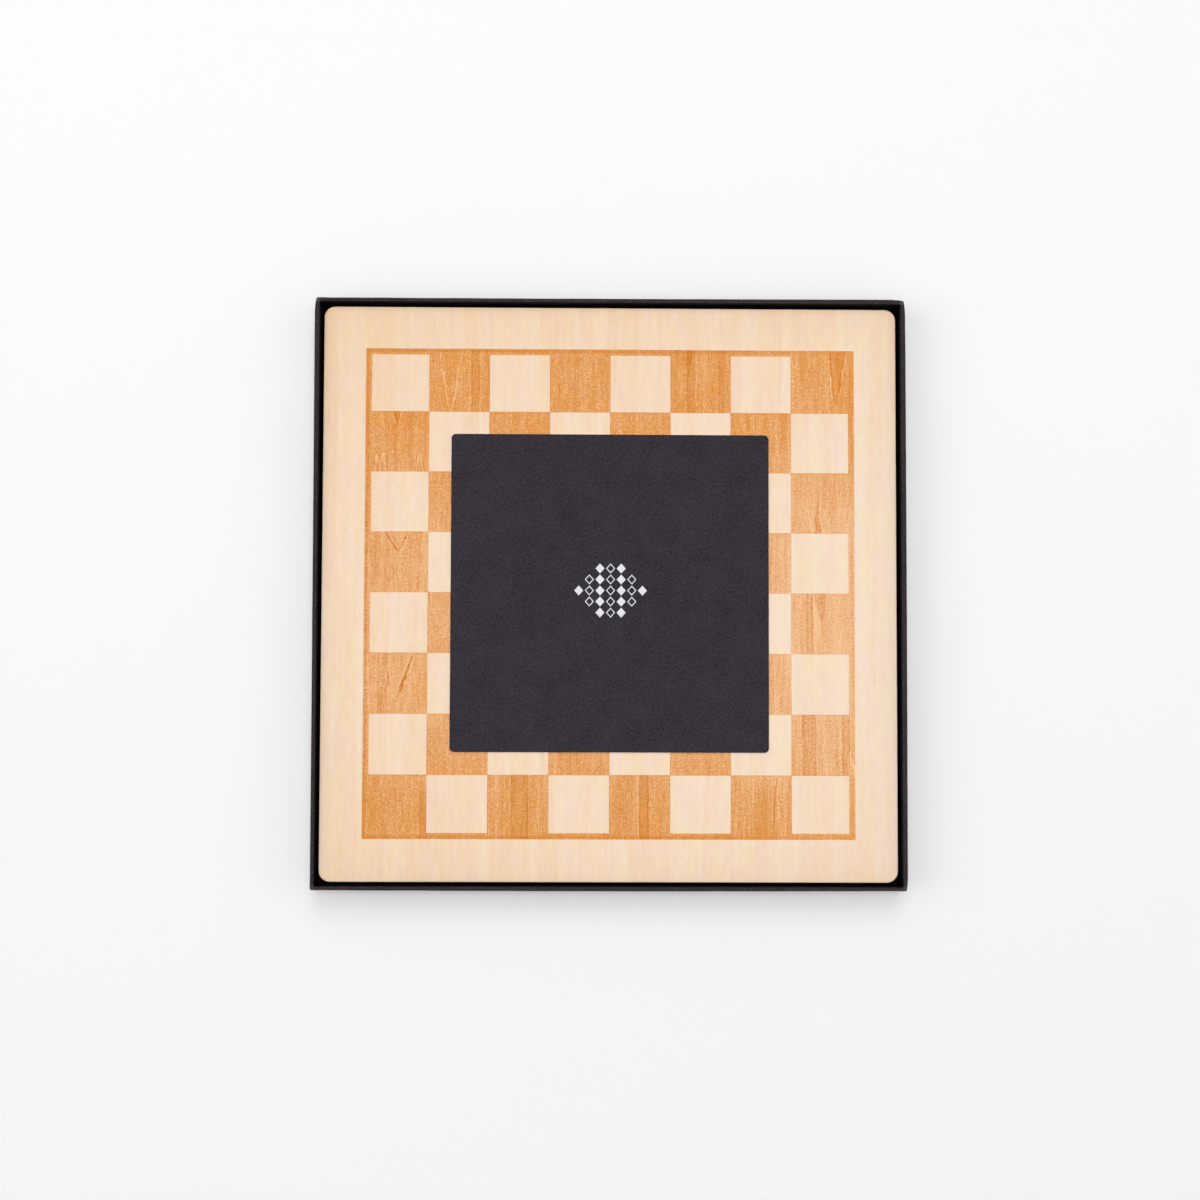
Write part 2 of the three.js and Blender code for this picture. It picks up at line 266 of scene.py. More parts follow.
def maple_tone(shader, across, along, seed, ochre=0.4):
    """Pale maple with fibres, stripes and flecks, whose cast drifts between warm and rose."""
    across = across + shader.noise(across / 70, along / 150, seed + 3) * 9
    fibre = shader.noise(across / 1.4, along / 60, seed)
    strand = shader.noise(across / 3.5, along / 110, seed + 5)
    stripe = shader.noise(across / 14, along / 600, seed + 9, detail=0).rise(0.49, 0.51)
    cast = shader.noise(across / 9, along / 30, seed + 13)
    blotch = shader.noise(across / 3.2, along / 12, seed + 15, detail=3)
    fleck = shader.noise(across / 0.8, along / 2.2, seed + 17)
    share = (strand - 0.5) * 0.7 + (blotch - 0.5) * 1.2 + (stripe - 0.5) * 0.25 + ochre
    tone = shader.mix(share, MAPLE_CREAM, MAPLE_OCHRE)
    tone = shader.mix(1.0, tone, shader.mix(cast.rise(0.38, 0.62), MAPLE_WARM, MAPLE_ROSE), "MULTIPLY")
    value = 0.92 + fibre * 0.035 + stripe * 0.01 + fleck * 0.08 + blotch * 0.03
    return shader.scaled(tone, value), fibre


def maple(name, seed, along_x=False):
    """Plain maple with its grain along Y, or along X."""
    shader = Shader(name, 0.5, 0.3)
    x, y, z = shader.place()
    across, along = (y, x) if along_x else (x, y)
    tone, fibre = maple_tone(shader, across + z * 0.7, along, seed)
    shader.bump(fibre, 0.03 * MM)
    return shader.done(tone)


# Growth figure that shows in single squares as a V or spire: its tip, the length over which it opens
# (below 0 towards the front), its half width there, how far its axis has moved to the right there,
# how much darker its line is (below 0 lighter), and how much darker the wood between its arms is.
SPIRES = (
    ((-106, 119), 48, 7.8, 0.3, -0.8, 0.1),
    ((150.2, 127.5), 46, 6.3, 0.9, 2.0, 0.55),
    ((-140.5, 113), 12, 3.2, 0, 1.9, 0.4),
    ((-154, 91), -17, 2.6, 0, -1.0, 0.15),
    ((-150.5, 93), -19, 2.6, 0, -1.0, 0.45),
    ((-126.5, 92), -18, 3.4, 0.5, -0.9, 0.2),
    ((138.3, 64), -34, 2.2, -0.7, 1.1, 1.0),
    ((-139.6, 27), 13, 7.2, -1.3, 1.5, -0.1),
    ((140.6, -16.5), 22, 3.8, -1.6, 0.9, 0.65),
    ((135.3, -6), -26, 2.8, 2.7, -1.0, -0.4),
    ((-129.5, -42.5), -25, 0.4, -9.4, 1.5, 0),
    ((-145.7, -52.5), -8.5, 0.3, 0, 1.4, 0.3),
    ((110.6, -118), -40, 0.2, -3.0, 1.2, 0),
    ((159, -104), -17, 2.6, 0, -1.2, -0.6),
)

# Darker bands along the grain: their middle, half width, and half length, in millimetres, and how
# much darker they are.
BANDS = (
    ((-89.6, 141), 2.4, 30, 0.5),
    ((53.6, 140), 2.2, 32, 0.5),
    ((74, 140), 1.6, 32, 0.4),
    ((49, 158), 5, 8, 0.4),
    ((132.2, -20), 1.9, 32, 0.5),
    ((131.7, -98), 4.2, 30, 0.75),
    ((156, -100), 2.2, 26, 0.6),
    ((-59, -140), 5.3, 32, 0.5),
    ((22.8, -140), 2.7, 32, 0.65),
    ((5, -150), 6, 26, 0.25),
    ((-149.5, -60), 3, 24, 0.4),
    ((-122, -146), 2, 20, 0.4),
    ((103, -146), 7, 22, 0.35),
)

LINE_WIDTH = 0.8
LINE_OFFSET = 1.1  # from a line to the opposite one that runs along it
PALEST_Y = -25  # where the laser has burnt the wood least


def edge_line(past):
    """A line where past is 0, with a fainter one of the opposite sign beside it."""
    line = 1 - (past / LINE_WIDTH).absolute().rise(0, 1)
    beside = 1 - ((past - LINE_OFFSET) / LINE_WIDTH).absolute().rise(0, 1)
    return line - beside * 0.4


def spire(x, y, broken, mark):
    """How much a spire darkens the wood, below 0 where it lightens it, faded in and out at its ends."""
    (tip_x, tip_y), length, half_width, lean, line_depth, fill_depth = mark
    t = (y - tip_y) / length
    opening = t.most(0) ** 0.75 * half_width
    past = (x - tip_x - t * lean).absolute() - opening
    window = t.rise(-0.12, 0.08) * (1 - t.rise(0.75, 1.15))
    fill = (1 - past.rise(-1.0, 0.3)) * t.rise(0, 0.6) * fill_depth
    return (edge_line(past) * broken * line_depth + fill) * window


def band(x, y, broken, mark):
    """How much a band along the grain darkens the wood, with lines along its edges."""
    (middle_x, middle_y), half_width, half_length, depth = mark
    past = (x - middle_x).absolute() - half_width
    along = ((y - middle_y) / half_length).absolute()
    fill = 1 - past.rise(-0.6, 0.3)
    return (fill * 0.8 + edge_line(past) * broken * 1.4) * (1 - along.rise(0.6, 1)) * depth


def engraved_tone(shader, x, y):
    """Maple browned by the laser: deeper at the front and back rows, mottled, streaked along the grain."""
    rows = ((y - PALEST_Y) / FIELD_HALF).absolute().rise(0.2, 1.0)
    right = (x / FIELD_HALF).rise(0.2, 1.0)
    cloud = shader.noise(x / 18, y / 26, 21)
    pale = (1 - rows) * (0.5 + right * 0.45) + right * 0.1 + (cloud - 0.5) * 0.8
    tone = shader.mix(pale.rise(-0.1, 1), ENGRAVED_DEEP, ENGRAVED_PALE)
    rose = shader.noise(x / 7, y / 11, 25).rise(0.5, 0.65) * (1 - right) * 0.6
    tone = shader.mix(rose, tone, ENGRAVED_ROSE)

    drift = (shader.noise(x / 9, y / 14, 61) - 0.5) * 5
    jitter = (shader.noise(x / 1.5, y / 2.5, 63) - 0.5) * 1.8
    x_figure = x + drift + jitter
    x_grain = x + (drift + jitter) * 0.3

    streak = shader.noise(x_grain / 1.5, y / 40, 41)
    fibre = shader.noise(x_grain / 0.65, y / 10, 43, detail=1)
    wide = shader.noise(x_grain / 4.5, y / 90, 51)
    mottle = shader.noise(x_figure / 0.85, y / 1.3, 31, detail=1)
    patch = shader.noise(x / 2.2, y / 3.2, 35)
    dark = (streak - 0.5) * (0.9 + right) + (wide - 0.5) * (1.2 + right * 0.6)
    dark = dark + (mottle - 0.5) * (3.2 + right) + (fibre - 0.5) * 1.7 + (patch - 0.5)
    broken = 0.5 + shader.noise(x / 2, y / 2.6, 71)
    for mark in SPIRES:
        dark = dark + spire(x_figure, y, broken, mark)
    for mark in BANDS:
        dark = dark + band(x_grain, y, broken, mark)
    to_edges = [((c / SQUARE + 0.5).fraction() - 0.5).absolute() * SQUARE for c in (x, y)]
    dark = dark + (1 - to_edges[0].least(to_edges[1]).rise(0, 0.7)) * 0.3
    border = x.absolute().most(y.absolute()).above(FIELD_HALF)
    dark = dark + border * (0.45 - right * 0.25)

    burnt = shader.mix(right, ENGRAVED_DARK, ENGRAVED_EMBER)
    tone = shader.mix(dark * (0.7 - right * 0.23), tone, burnt)
    return shader.mix(dark * -0.6, tone, ENGRAVED_LIGHT), mottle


def engraved_maple():
    """The face veneer: plain maple, and browned and rougher where the CAD has it engraved."""
    shader = Shader("maple_engraved", 0.5, 0.3)
    x, y, z = shader.place()
    # Darker and more ochre towards the left, the front and the back: partly the wood's own tone and partly
    # painted shade.
    back = y / BOARD_HALF + 0.15
    ochre = 0.3 - x / BOARD_HALF * 0.2 + back * back * 0.35
    light, fibre = maple_tone(shader, x, y, 1, ochre)
    dark, mottle = engraved_tone(shader, x, y)
    reach = x.absolute().most(y.absolute())
    in_field = 1 - reach.above(FIELD_HALF + FIELD_LINE)
    engraved = (1 - z.above(BOARD_TOP - ENGRAVED_DEPTH / 3)) * in_field
    shader.bump(fibre * 0.6 + mottle * engraved, 0.02 * MM)
    return shader.done(shader.mix(engraved, light, dark), 0.5 + engraved * 0.15)


def core_board():
    """Pressed wood chips."""
    shader = Shader("core_board", 0.8, 0.2)
    x, y, z = shader.place()
    chips = shader.noise(x / 1.2, y / 1.2, z / 0.6, detail=4, rough=0.65)
    return shader.done(shader.scaled(CORE_BROWN, 0.7 + chips * 0.6))


# Paper, felt and wire.

WRAP_DARK = srgb(43, 36, 39)
WRAP_PALE = srgb(51, 43, 47)
# The lighter grey of rubbed paper, used also as a painted highlight at the rim's corners.
WRAP_WEAR_AND_HIGHLIGHT = srgb(118, 112, 112)
RUBBED_DEPTH = 1.2  # how far down from the rim the wrap is rubbed
RUBBED_AND_LIT_CORNER = 2.5  # and how far along the rim from a corner it is rubbed more, which also paints a highlight on the folds there
FELT_BLACK = srgb(52, 52, 54)
STEEL = srgb(205, 206, 208)


def paper(name, colour, roughness, specular, grain, depth, contrast):
    """Uncoated paper or card with a fine pressed grain and faint clouding."""
    shader = Shader(name, roughness, specular)
    x, y, z = shader.place()
    pressed = shader.noise(x / grain, y / grain, z / grain, detail=3, rough=0.6)
    cloud = shader.noise(x / 14, y / 14, z / 14)
    value = 1 + (pressed - 0.5) * contrast + (cloud - 0.5) * contrast * 0.25
    shader.bump(pressed, depth * MM)
    return shader.done(shader.scaled(colour, value))


def wrap_paper():
    """Black textured paper, rubbed on the rim and at its corners, where the lighter grey is also a painted
    highlight on the paper's folds; with painted shade, near black inside the tray and darker below the
    rim's flat top.
    """
    shader = Shader("wrap_paper", 0.75, 0.1)
    x, y, z = shader.place()
    pressed = shader.noise(x / 0.8, y / 0.8, z / 0.8, detail=3, rough=0.6)
    cloud = shader.noise(x / 7, y / 7, z / 7, detail=3)
    reach = x.absolute().most(y.absolute())
    # Painted shade: the paper on the inside of the tray is made near black.
    inside = 1 - reach.rise(WALL_INNER_HALF - WRAP_PAPER, WALL_INNER_HALF)
    # Painted shade: the paper is made darker on the rim's roundings and everywhere below them.
    outside = 1 - z.rise(RIM_TOP - RIM_INNER_RADIUS, RIM_TOP - 0.05)
    tone = shader.mix(cloud.rise(0.3, 0.75), WRAP_DARK, WRAP_PALE)
    tone = shader.scaled(tone, (1 + (pressed - 0.5) * 1.2) * (1 - inside * 0.95) * (1 - outside * 0.35))
    nearest = x.absolute().least(y.absolute())
    # Painted highlight: near the corners more of the rim takes the lighter grey, for the light on the
    # paper's folds there.
    corner = nearest.rise(WALL_INNER_HALF - RUBBED_AND_LIT_CORNER, WALL_INNER_HALF + 0.5)
    rim = z.rise(RIM_TOP - RUBBED_DEPTH, RIM_TOP - 0.1)
    scuff = shader.noise(x / 1.1, y / 1.1, z / 1.1, detail=3, rough=0.7)
    wear_and_highlight = rim * (scuff - 0.42 + corner * 0.14).rise(0.1, 0.3) * 0.5
    shader.bump(pressed, 0.06 * MM)
    return shader.done(shader.mix(wear_and_highlight, tone, WRAP_WEAR_AND_HIGHLIGHT))


def felt():
    """Black felt with a short nap."""
    shader = Shader("felt_black", 1.0, 0.1)
    x, y, z = shader.place()
    nap = shader.noise(x / 0.3, y / 0.3, z / 0.3, detail=4, rough=0.7)
    shader.bump(nap, 0.15 * MM)
    return shader.done(shader.scaled(FELT_BLACK, 0.5 + nap))


def wire():
    """Steel wire with the lines of its drawing along Y."""
    shader = Shader("staple_steel", 0.3, 0.5)
    shader.surface.inputs["Metallic"].default_value = 1.0
    x, y, z = shader.place()
    drawn = shader.noise(x / 0.05, y / 1.5, z / 0.05)
    return shader.done(shader.scaled(STEEL, 0.8 + drawn * 0.4), 0.25 + drawn * 0.2)


# After a paper's colour: its roughness and gloss, its grain's size and height, and its contrast.
WRAP = wrap_paper()
# The lining is made darker than the wrap paper: painted shade, for the deep gap round the board.
LINING = paper("lining_paper", srgb(18, 15, 17), 0.85, 0.05, 0.4, 0.05, 0.5)
BASE_PAPER = paper("base_paper", srgb(44, 39, 42), 0.7, 0.3, 0.3, 0.04, 0.4)
GREY_BOARD = paper("grey_board", srgb(150, 145, 137), 0.9, 0.2, 0.5, 0.05, 0.3)
STAY_TAPE = paper("stay_tape", srgb(190, 154, 108), 0.85, 0.2, 0.4, 0.03, 0.3)
COVER_CARD = paper("cover_card", srgb(42, 37, 45), 0.75, 0.2, 1.5, 0.04, 3.4)
PAGE_PAPER = paper("page_paper", srgb(240, 238, 232), 0.85, 0.3, 0.2, 0.01, 0.03)
PRINT_WHITE = paper("print_white", srgb(232, 231, 236), 0.7, 0.3, 0.3, 0.01, 0.1)
FELT = felt()
WIRE = wire()

# The finish of the CAD nodes that stay, by the start of their names.
NODE_FINISHES = {
    "base_paper": BASE_PAPER,
    "floor_lining": LINING,
    "base_board": GREY_BOARD,
    "wall_": GREY_BOARD,
    "corner_stay_": STAY_TAPE,
    "board_core": core_board(),
    "lipping_front": maple("maple_front", 17, along_x=True),
    "lipping_back": maple("maple_back", 27, along_x=True),
    "lipping_left": maple("maple_left", 37),
    "lipping_right": maple("maple_right", 47),
    "face_veneer": engraved_maple(),
    "back_veneer": maple("maple_underside", 57),
}
ROUNDED_NODES = ("lipping_", "face_veneer", "back_veneer")
ROUNDED_BELOW = 35  # degrees between faces that are shaded as one curve
WELD_REACH = 0.001


def finish_nodes():
    """Gives each CAD node that stays its material, and shades the board's rounded edges smooth."""
    for name, node in frame["nodes"].items():
        for start, material in NODE_FINISHES.items():
            if name.startswith(start):
                node.data.materials.clear()
                node.data.materials.append(material)
        if name.startswith(ROUNDED_NODES):
            custom = node.data.attributes.get("custom_normal")
            if custom:
                node.data.attributes.remove(custom)
            node.data.shade_smooth()
            node.modifiers.new("weld", "WELD").merge_threshold = WELD_REACH * MM
            node.modifiers.new("split", "EDGE_SPLIT").split_angle = math.radians(ROUNDED_BELOW)


# Pieces.


def piece(name, points, faces, material, slot, split=40):
    """A mesh from points in millimetres, shaded smooth where its faces meet at less than split degrees."""
    mesh = bpy.data.meshes.new(name)
    mesh.from_pydata([Vector(point) * MM for point in points], [], faces)
    mesh.materials.append(material)
    mesh.shade_smooth()
    made = bpy.data.objects.new(name, mesh)
    bpy.context.scene.collection.objects.link(made)
    made.modifiers.new("split", "EDGE_SPLIT").split_angle = math.radians(split)
    return made


def skin(rings, closed):
    """Points and faces of a surface through closed rings of equally many points."""
    count = len(rings[0])
    points = [point for ring in rings for point in ring]
    faces = []
    for row in range(len(rings) if closed else len(rings) - 1):
        after = (row + 1) % len(rings)
        for i in range(count):
            j = (i + 1) % count
            faces.append((row * count + i, row * count + j, after * count + j, after * count + i))
    return points, faces


SIDE_STEPS = 56
CORNER_STEPS = 8
RIM_STEPS = 6
FOLD_EDGE_STEPS = 4
WALL_STEPS = 8
# How far the right, back, left and front sides stand off, at their start, middle and end.
OUTER_BOWS = ((0.4, 0.75, 0.65), (0.75, 0.05, -0.15), (0.8, 0.2, -0.2), (-0.2, 0.25, -0.2))
INNER_BOWS = ((-0.1, -0.1, -0.1),) * 4
NO_BOWS = ((0, 0, 0),) * 4
OUTER_BOW_RISE = 6  # height over which the outer bows grow from the base up
INNER_BOW_DROP = 2  # and the inner ones from the rim down
UNEVEN = 0.1  # how far the paper strays from its bow, and the rim from its height
UNEVEN_LENGTH = 28
LIFT_LENGTH = 17
CORNER_PULL = 7  # length over which the paper is drawn tight at a corner


def side_bow(along, reach, bow):
    """How far one side stands off, by its bows at both ends and in the middle."""
    start, middle, end = bow
    t = along / reach
    loose = min(1, (reach - abs(along)) / CORNER_PULL) ** 0.6
    return (middle + (end - start) / 2 * t + ((start + end) / 2 - middle) * t * t) * loose


def rounded_ring(half, height, radius, bows, share=1.0):
    """A ring round the tray, whose sides stand off by a share of their bows and are slightly uneven."""
    ring = []
    reach = half - radius
    for side, bow in enumerate(bows):
        seed = side * 7.0
        outline = []
        for i in range(SIDE_STEPS):
            along = -reach * math.cos(math.pi * i / SIDE_STEPS)
            loose = min(1, (reach - abs(along)) / CORNER_PULL) * share * UNEVEN if any(bow) else 0
            uneven = noise.noise(Vector((along / UNEVEN_LENGTH, seed, 1))) * loose
            lift = noise.noise(Vector((along / LIFT_LENGTH, seed + 3, 1))) * loose
            outline.append((half + side_bow(along, reach, bow) * share + uneven, along, height + lift))
        for i in range(CORNER_STEPS):
            angle = math.pi / 2 * i / CORNER_STEPS
            outline.append((reach + radius * math.cos(angle), reach + radius * math.sin(angle), height))
        turn = math.radians(90 * side)
        outward = Vector((math.cos(turn), math.sin(turn), 0))
        onward = Vector((-math.sin(turn), math.cos(turn), 0))
        ring += [outward * x + onward * y + Vector((0, 0, z)) for x, y, z in outline]
    return ring


def arc(middle, height, radius, start, end, steps):
    """Half sizes and heights along an arc of the wrap's section, between two angles in degrees."""
    angles = [math.radians(start + (end - start) * i / steps) for i in range(steps + 1)]
    return [(middle + radius * math.cos(a), height + radius * math.sin(a)) for a in angles]


def rise_or_fall(half, start, end):
    """Half sizes and heights up or down a wall, without its first and last."""
    return [(half, start + (end - start) * i / WALL_STEPS) for i in range(1, WALL_STEPS)]


def tray_wrap():
    """The paper: under the base, up the outside, over the rim and down to the lining, and its back."""
    inner = WALL_INNER_HALF - WRAP_PAPER
    outer_back = TRAY_HALF - WRAP_PAPER
    turn_under = TRAY_HALF - WRAP_TURN_UNDER
    fold = WRAP_LOW + WRAP_PAPER
    shoulder = RIM_TOP - RIM_OUTER_RADIUS
    lip = RIM_TOP - RIM_INNER_RADIUS
    foot = TRAY_FLOOR + WRAP_PAPER / 3
    outside = arc(outer_back, fold, WRAP_PAPER, -90, 0, FOLD_EDGE_STEPS)
    outside += rise_or_fall(TRAY_HALF, fold, shoulder)
    outside += arc(TRAY_HALF - RIM_OUTER_RADIUS, shoulder, RIM_OUTER_RADIUS, 0, 90, RIM_STEPS)
    inside = arc(inner + RIM_INNER_RADIUS, lip, RIM_INNER_RADIUS, 90, 180, RIM_STEPS)
    inside += rise_or_fall(inner, lip, foot)
    inside += [(inner, foot), (LINING_HALF, foot), (LINING_HALF, TRAY_FLOOR)]
    back = [(WALL_INNER_HALF, TRAY_FLOOR), (WALL_INNER_HALF, WALL_TOP)]
    back += [(outer_back, WALL_TOP), (outer_back, fold), (turn_under, fold)]
    rings = [rounded_ring(turn_under, WRAP_LOW, WRAP_BACK_CORNER_RADIUS, NO_BOWS)]
    for half, z in outside:
        share = min(1, (z - WRAP_LOW) / OUTER_BOW_RISE)
        rings.append(rounded_ring(half, z, WRAP_CORNER_RADIUS, OUTER_BOWS, share))
    for half, z in inside:
        share = min(1, (RIM_TOP - z) / INNER_BOW_DROP)
        rings.append(rounded_ring(half, z, WRAP_INNER_CORNER_RADIUS, INNER_BOWS, share))
    rings += [rounded_ring(half, z, WRAP_BACK_CORNER_RADIUS, NO_BOWS) for half, z in back]
    made = piece("tray_wrap", *skin(rings, True), WRAP, "black_paper")
    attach(made, "tray")
    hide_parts("side_wrap")


FOOT_TURNS = 48
FOOT_MIDDLE = 0.01  # radius at which a foot's two faces are closed
FOOT_FUZZ_SHARE = 0.012  # of its radius, by which a foot's outline is uneven
# How far the rounded edges stand back, and how far that is from the underside or from the top.
FOOT_LOWER_EDGE = ((0.5, 0), (0.12, 0.2), (0, 0.6))
FOOT_UPPER_EDGE = ((0, 0.4), (0.15, 0))


def felt_foot(node):
    """A punched felt disc with a softened edge and a slightly fuzzy outline."""
    low, high = box_mm(node)
    middle = (low + high) / 2
    radius = (high.x - low.x) / 2
    section = [(FOOT_MIDDLE, low.z)]
    section += [(radius - back, low.z + rise) for back, rise in FOOT_LOWER_EDGE]
    section += [(radius - back, high.z - drop) for back, drop in FOOT_UPPER_EDGE]
    section.append((FOOT_MIDDLE, high.z))
    rings = []
    for out, z in section:
        ring = []
        for i in range(FOOT_TURNS):
            angle = 2 * math.pi * i / FOOT_TURNS
            reach = out * (1 + FOOT_FUZZ_SHARE * noise.noise(Vector((i * 1.7, z * 3, middle.x))))
            ring.append((middle.x + reach * math.cos(angle), middle.y + reach * math.sin(angle), z))
        rings.append(ring)
    points, faces = skin(rings, False)
    faces.append(tuple(range(FOOT_TURNS))[::-1])
    faces.append(tuple(range(len(points) - FOOT_TURNS, len(points))))
    made = piece(node + "_disc", points, faces, FELT, "felt", split=60)
    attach(made, "board")
    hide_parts(node)


FOLD_STEPS = 16
SHEET_ROWS = 12
SPINE_COLUMNS = 6
LEAF_COLUMNS = 8
DENT_EASE = 2  # length over which a crown's dent runs out at its ends
DENT_ANGLE = 15  # degrees round the fold that a crown's dent reaches, up and down
INNERMOST = 0.02  # radius of the innermost sheet's fold


def sheet_half_depth(x):
    """Half the booklet's depth at x, less where its corners are rounded."""
    straight = BOOKLET_HALF - BOOKLET_CORNER_RADIUS
    past = min(max(0, abs(x) - straight), BOOKLET_CORNER_RADIUS)
    return straight + math.sqrt(BOOKLET_CORNER_RADIUS**2 - past**2)


def sheet_rows():
    """Where a sheet has points along the fold, as shares of its half depth, and its dent there."""
    rows = [(2 * i / SHEET_ROWS - 1, 0) for i in range(SHEET_ROWS + 1)]
    for name in frame["nodes"]:
        if name.startswith("staple_"):
            low, high = box_mm(name)
            start, end = low.y - DENT_EASE, high.y + DENT_EASE
            rows = [(share, dent) for share, dent in rows if not start < share * BOOKLET_HALF < end]
            dents = ((start, 0), (low.y, STAPLE_DENT), (high.y, STAPLE_DENT), (end, 0))
            rows += [(y / sheet_half_depth(FOLD_X), dent) for y, dent in dents]
    return sorted(rows)


def sheet_columns():
    """Distances to the right of the fold at which a leaf has points, closer together at its corners."""
    near = BOOKLET_CORNER_RADIUS + 1
    far = BOOKLET_HALF - BOOKLET_CORNER_RADIUS - FOLD_X
    columns = [near * i / SPINE_COLUMNS for i in range(1, SPINE_COLUMNS)]
    columns += [near + (far - near) * i / LEAF_COLUMNS for i in range(LEAF_COLUMNS)]
    turns = [math.pi / 2 * i / CORNER_STEPS for i in range(CORNER_STEPS + 1)]
    return columns + [far + BOOKLET_CORNER_RADIUS * math.sin(turn) for turn in turns]


def folded_sheet(name, outer, inner, material, slot):
    """A sheet folded once round the spine, as thick as its two radii differ."""
    rows = sheet_rows()
    columns = sheet_columns()
    path = [(reach, -90) for reach in reversed(columns)]
    path += [(0, -90 - 180 * i / FOLD_STEPS) for i in range(FOLD_STEPS + 1)]
    path += [(reach, -270) for reach in columns]
    rings = []
    for reach, degrees in path:
        ring = []
        angle = math.radians(degrees)
        dented = abs(degrees + 180) < DENT_ANGLE
        for radius, order in ((outer, 1), (inner, -1)):
            for share, dent in rows[::order]:
                x = FOLD_X + reach + radius * math.cos(angle) + dent * dented
                ring.append((x, sheet_half_depth(x) * share, FOLD_Z + radius * math.sin(angle)))
        rings.append(ring)
    points, faces = skin(rings, False)
    count = len(rings[0])
    for first, order in ((0, 1), (len(points) - count, -1)):
        for i in range(len(rows) - 1):
            quad = (first + i, first + count - 1 - i, first + count - 2 - i, first + i + 1)
            faces.append(quad[::order])
    return piece(name, points, faces, material, slot)


def booklet_sheets():
    """The cover and the inner sheets, each one sheet folded round the spine."""
    sheets = [("cover", "back_cover", "front_cover", COVER_CARD, "cover_card")]
    for front in sorted(name for name in frame["nodes"] if name.startswith("front_leaf_")):
        leaf = front.removeprefix("front_")
        sheets.append((leaf, "back_" + leaf, front, PAGE_PAPER, "page_paper"))
    for body, back, front, material, slot in sheets:
        low, high = box_mm(front)
        inner = max(low.z - FOLD_Z, INNERMOST)
        outer = min(high.z, COVER_TOP) - FOLD_Z
        made = folded_sheet(body + "_sheet", outer, inner, material, slot)
        start, end = [(FOLD_X * MM, 0, (FOLD_Z + side * inner) * MM) for side in (-1, 1)]
        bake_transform(made)
        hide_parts(back, front)


STAPLE_SIDES = 12
STAPLE_BEND_STEPS = 6
STAPLE_TIP_SHARE = 0.55  # of the wire's width, at its cut ends
STAPLE_BLEND_RADII = 100  # how far above and below the fold two points are set, in the wire's radii


def staple(node):
    """A wire staple: its crown outside the fold, its legs through it, and its points clinched inside."""
    low, high = box_mm(node)
    radius = (high.z - low.z) / 2
    middle = (low + high) / 2
    crown, point = low.x + radius + STAPLE_DENT, high.x - radius
    half = (high.y - low.y) / 2 - radius
    corners = [(point, half - STAPLE_POINT), (point, half), (crown, half), (crown, -half), (point, -half)]
    corners.append((point, STAPLE_POINT - half))
    corners = [Vector((x, middle.y + y, FOLD_Z)) for x, y in corners]
    path = [corners[0]]
    for before, corner, after in zip(corners, corners[1:], corners[2:]):
        start = corner + (before - corner).normalized() * STAPLE_BEND_RADIUS
        end = corner + (after - corner).normalized() * STAPLE_BEND_RADIUS
        steps = [i / STAPLE_BEND_STEPS for i in range(STAPLE_BEND_STEPS + 1)]
        path += [start * (1 - t) ** 2 + corner * 2 * t * (1 - t) + end * t**2 for t in steps]
    path.append(corners[-1])
    up = Vector((0, 0, 1))
    rings = []
    for i, spot in enumerate(path):
        ahead = path[min(i + 1, len(path) - 1)] - path[max(i - 1, 0)]
        side = ahead.normalized().cross(up)
        wide = radius * (STAPLE_TIP_SHARE if i in (0, len(path) - 1) else 1)
        angles = [2 * math.pi * k / STAPLE_SIDES for k in range(STAPLE_SIDES)]
        rings.append([spot + (side * math.cos(a) + up * math.sin(a)) * wide for a in angles])
    points, faces = skin(rings, False)
    faces.append(tuple(range(STAPLE_SIDES)))
    faces.append(tuple(range(len(points) - STAPLE_SIDES, len(points)))[::-1])
    made = piece(node + "_wire", points, faces, WIRE, "staple_wire", split=50)
    far = STAPLE_BLEND_RADII * radius
    start, end = [(FOLD_X * MM, 0, (FOLD_Z + side * far) * MM) for side in (-1, 1)]
    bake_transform(made)
    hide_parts(node)


# Print on the cover: a plain lattice of lozenges, every other one filled.

LATTICE_ROWS = (3, 5, 7, 5, 3)
LOZENGE_WIDTH = 6.0
LOZENGE_HEIGHT = 6.6
LOZENGE_PITCH = (7.0, 7.3)
LOZENGE_LINE = 0.55
LOZENGE_SLANT = 1.4  # how much wider a line is along its lozenge's axes than straight across it
CLOSED_SHARE = 0.001  # of its size, to which a filled lozenge's hole is closed
PRINT_CENTRE = (0.5, 1.5)
INK = 0.015  # height of the print


def lozenge(x, y, scale, z):
    """The four corners of a lozenge, counted round from the right."""
    wide, high = LOZENGE_WIDTH / 2 * scale, LOZENGE_HEIGHT / 2 * scale
    return [(x + wide, y, z), (x, y + high, z), (x - wide, y, z), (x, y - high, z)]


def cover_print():
    """The lattice, in raised ink, on the front cover."""
    open_share = 1 - 2 * LOZENGE_SLANT * LOZENGE_LINE / LOZENGE_WIDTH
    middle_row = (len(LATTICE_ROWS) - 1) / 2
    points, faces = [], []
    for row, count in enumerate(LATTICE_ROWS):
        y = PRINT_CENTRE[1] + (middle_row - row) * LOZENGE_PITCH[1]
        for i in range(count):
            x = PRINT_CENTRE[0] + (i - (count - 1) / 2) * LOZENGE_PITCH[0]
            filled = (i + row) % 2 == 0
            hole = CLOSED_SHARE if filled else open_share
            first = len(points)
            for scale, ink in ((1, 0), (1, INK), (hole, INK), (hole, 0)):
                points += lozenge(x, y, scale, COVER_TOP + ink)
            for level in range(3):
                for k in range(4):
                    a, b = first + level * 4 + k, first + level * 4 + (k + 1) % 4
                    faces.append((a, b, b + 4, a + 4))
    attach(piece("cover_print", points, faces, PRINT_WHITE, "cover_card"), "cover")


# Stage, lamps and camera.

